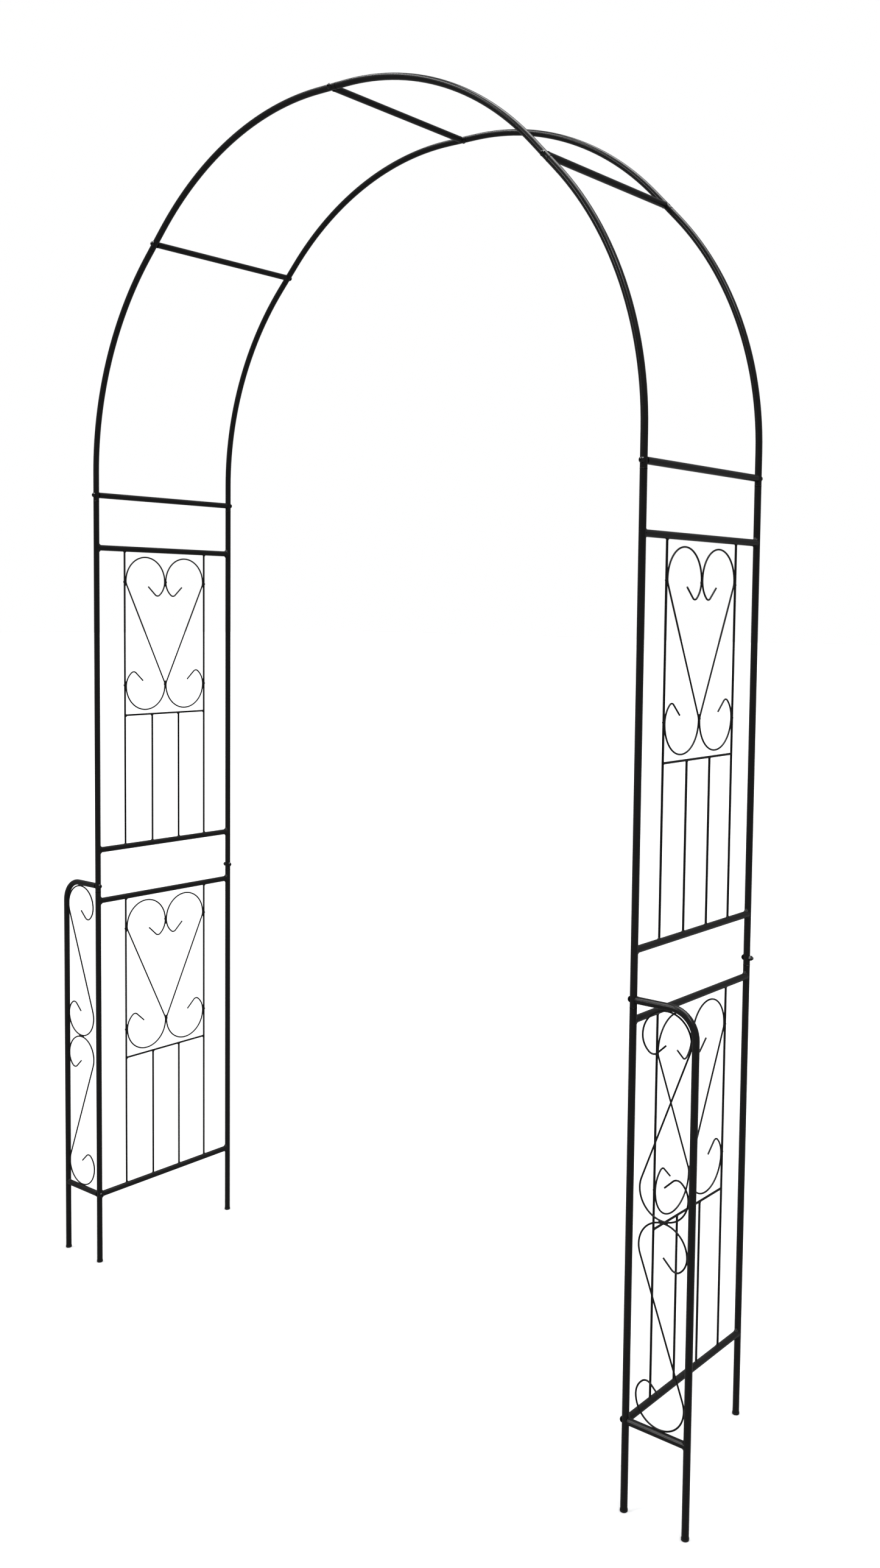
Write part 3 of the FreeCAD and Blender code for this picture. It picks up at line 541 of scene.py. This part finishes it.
def band_ring(centre, axis, outward, half_width, height):
    """A low rounded band round the tube: half an ellipse of the band's width and height on the
    tube's surface, carried once round the axis and closed just under that surface."""
    axis, outward = np.array(axis, float), np.array(outward, float)
    sideways = np.cross(axis, outward)
    turn = np.linspace(0, 2 * np.pi, 64, endpoint=False)
    sweep = np.linspace(0, np.pi, 7)
    offset = np.concatenate([half_width * np.cos(sweep), [0.0]])
    radius = TUBE_RADIUS + np.concatenate([height * np.sin(sweep), [-BAND_FLOOR]])
    spoke = np.cos(turn)[:, None] * outward + np.sin(turn)[:, None] * sideways
    return torus_shell(np.array(centre) + offset[None, :, None] * axis
                       + radius[None, :, None] * spoke[:, None])


# A seam is its centre, the unit direction from there to the joint's bolt, and a direction out.
# Round the hoop, the bolt's own place on the circle through the posts gives both directions.
seams = []
for hoop in ("front", "rear"):
    for side in ("left", "right"):
        post = middle(f"{side}_{hoop}_post_upper")
        for bolt_height in (middle("rear_leg_bolts").z, middle(f"crossbar_{side}_springing").z):
            seams.append((np.array((post.x, post.y, bolt_height - SEAM_BELOW_BOLT)),
                          np.array(UP), np.array((1, 0, 0))))
    hoop_centre = middle(f"right_{hoop}_post_upper")
    for bar, turn_sense in (("left_haunch", -1), ("apex", 1), ("right_haunch", 1)):
        bolt = middle(f"crossbar_{bar}")
        across = bolt.x / hoop_centre.x
        outward = np.array((across, 0, math.sqrt(1 - across ** 2)))
        to_bolt = turn_sense * np.array((-outward[2], 0, outward[0]))
        seams.append((np.array((bolt.x, hoop_centre.y, bolt.z)) - SEAM_BELOW_BOLT * to_bolt,
                      to_bolt, outward))

lips, groove_shades = [], []
for centre, to_bolt, outward in seams:
    lips.append(band_ring(centre + LIP_SHIFT * to_bolt, to_bolt, outward, LIP_HALF_WIDTH,
                          LIP_HEIGHT))
    groove_shades.append(band_ring(centre + GROOVE_SHADE_SHIFT * to_bolt, to_bolt, outward, GROOVE_SHADE_HALF_WIDTH,
                          GROOVE_SHADE_HEIGHT))
build("tube_seams", lips, lip_coat)
# The bands of painted shade beside the lips.
build("tube_seam_groove_shade", groove_shades, groove_shade_paint)

# ---- Bolts and nuts ---------------------------------------------------------------------------
# Low dome-head screws with a small hexagon socket, and their nuts. They are black plated and
# lacquered, so they shine much more than the powder beside them.

black_plate = powder_material("black_plate", (0.0025, 0.0025, 0.0028, 1.0),
                              (0.007, 0.007, 0.0075, 1.0), smooth=0.12, dull=0.2,
                              peel_size=0.001, peel_height=0.00001, speck_size=0.0005,
                              specular=0.5)
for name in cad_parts:
    if name.endswith(("_bolts", "_nuts")):
        finish_node(name, black_plate)

# ---- Threaded inserts -------------------------------------------------------------------------
# Steel inserts with a collar, pressed into the ends of the crossbars and of the wings' rails.
# They go in before coating, so that their collars carry the same powder as the tube.

insert_coat = powder_material("insert_powder_coat", TUBE_COAT, TUBE_COAT_THIN, smooth=0.26,
                              dull=0.38, peel_size=0.0017, peel_height=0.00003,
                              speck_size=0.0008, specular=0.2)
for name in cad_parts:
    if name.endswith("_inserts"):
        finish_node(name, insert_coat)

# ---- Foot caps --------------------------------------------------------------------------------
# Soft black plastic caps, pressed into the open ends of the six legs and rounded at the rim.
# They are moulded with a matt surface, so they shine less than the tube above them.

cap_plastic = powder_material("cap_plastic", (0.011, 0.011, 0.011, 1), (0.02, 0.02, 0.02, 1),
                              smooth=0.5, dull=0.62, peel_size=0.0008, peel_height=0.00003,
                              speck_size=0.0012, specular=0.4)
finish_node("foot_caps", cap_plastic)

# ---- Studio: floor, light and camera ----------------------------------------------------------
# A wide white floor under an even white surround, one broad soft light from above, four narrower
# ones that draw thin bright lines along the tubes, and a camera at chest height off to the
# arch's right. The floor sends less light back at the tubes than its look suggests.

FLOOR_HALF = 60.0
FLOOR_LIT = (0.20, 0.20, 0.20, 1.0)
FLOOR_SEEN = (0.55, 0.55, 0.55, 1.0)
floor_mesh = bpy.data.meshes.new("floor")
floor_mesh.from_pydata([(-FLOOR_HALF, -FLOOR_HALF, 0), (FLOOR_HALF, -FLOOR_HALF, 0),
                        (FLOOR_HALF, FLOOR_HALF, 0), (-FLOOR_HALF, FLOOR_HALF, 0)],
                       [], [(0, 1, 2, 3)])
floor = bpy.data.objects.new("floor", floor_mesh)
bpy.context.scene.collection.objects.link(floor)
floor_white, tree, shader = new_material("floor_white", specular=0.05)
shader.inputs["Roughness"].default_value = 0.9
path = add_node(tree, "ShaderNodeLightPath")
tree.links.new(colour_mix(tree, path.outputs["Is Camera Ray"], FLOOR_LIT, FLOOR_SEEN),
               shader.inputs["Base Color"])
floor_mesh.materials.append(floor_white)

world = bpy.data.worlds.new("studio")
bpy.context.scene.world = world
world.use_nodes = True
tree = world.node_tree
tree.nodes.clear()
seen = add_node(tree, "ShaderNodeBackground", {"Color": (1, 1, 1, 1), "Strength": 1.0})
lighting = add_node(tree, "ShaderNodeBackground",
                    {"Color": (0.95, 0.97, 1.0, 1), "Strength": 0.36})
path = add_node(tree, "ShaderNodeLightPath")
choice = add_node(tree, "ShaderNodeMixShader", {0: path.outputs["Is Camera Ray"],
                                                1: lighting.outputs[0], 2: seen.outputs[0]})
add_node(tree, "ShaderNodeOutputWorld", {0: choice.outputs[0]})

# Each light's name, its strength, its width in degrees and the direction it comes from.
LIGHTS = (("main_light", 4.4, 46, (0.12, 0.12, 1.0)),
          ("fill_light", 1.1, 18, (-0.42, -0.52, 0.74)),
          ("left_light", 0.60, 13, (-0.56, -0.14, 0.81)),
          ("right_light", 1.15, 12, (0.55, -0.38, 0.74)),
          ("low_light", 0.62, 9, (-0.44, -0.83, 0.33)))
for light_name, strength, spread, direction in LIGHTS:
    light = bpy.data.lights.new(light_name, "SUN")
    light.energy = strength
    light.angle = math.radians(spread)
    lamp = bpy.data.objects.new(light_name, light)
    lamp.rotation_euler = Vector(direction).to_track_quat("Z", "Y").to_euler()
    bpy.context.scene.collection.objects.link(lamp)

CAMERA_PLACE = (1.918, -2.083, 1.455)
CAMERA_AZIMUTH = math.radians(38.50)
CAMERA_TILT = math.radians(-3.63)
CAMERA_ROLL = math.radians(0.73)
CAMERA_LENS = 33.105
CAMERA_SENSOR = 36.0
CAMERA_SHIFT = (-0.0355, -0.0532)
camera_data = bpy.data.cameras.new("camera")
camera = bpy.data.objects.new("camera", camera_data)
bpy.context.scene.collection.objects.link(camera)
bpy.context.scene.camera = camera
ahead = np.array((-math.sin(CAMERA_AZIMUTH) * math.cos(CAMERA_TILT),
                  math.cos(CAMERA_AZIMUTH) * math.cos(CAMERA_TILT), math.sin(CAMERA_TILT)))
right = np.cross(ahead, (0, 0, 1))
right /= np.linalg.norm(right)
upward = np.cross(right, ahead)
rolled_right = right * math.cos(CAMERA_ROLL) + upward * math.sin(CAMERA_ROLL)
rolled_up = upward * math.cos(CAMERA_ROLL) - right * math.sin(CAMERA_ROLL)
basis = Matrix(np.stack([rolled_right, rolled_up, -ahead], axis=1).tolist()).to_4x4()
camera.matrix_world = Matrix.Translation(CAMERA_PLACE) @ basis
camera_data.sensor_width = CAMERA_SENSOR
camera_data.lens = CAMERA_LENS
camera_data.shift_x, camera_data.shift_y = CAMERA_SHIFT

bpy.context.scene.view_settings.view_transform = "Standard"
bpy.context.scene.view_settings.gamma = 0.85
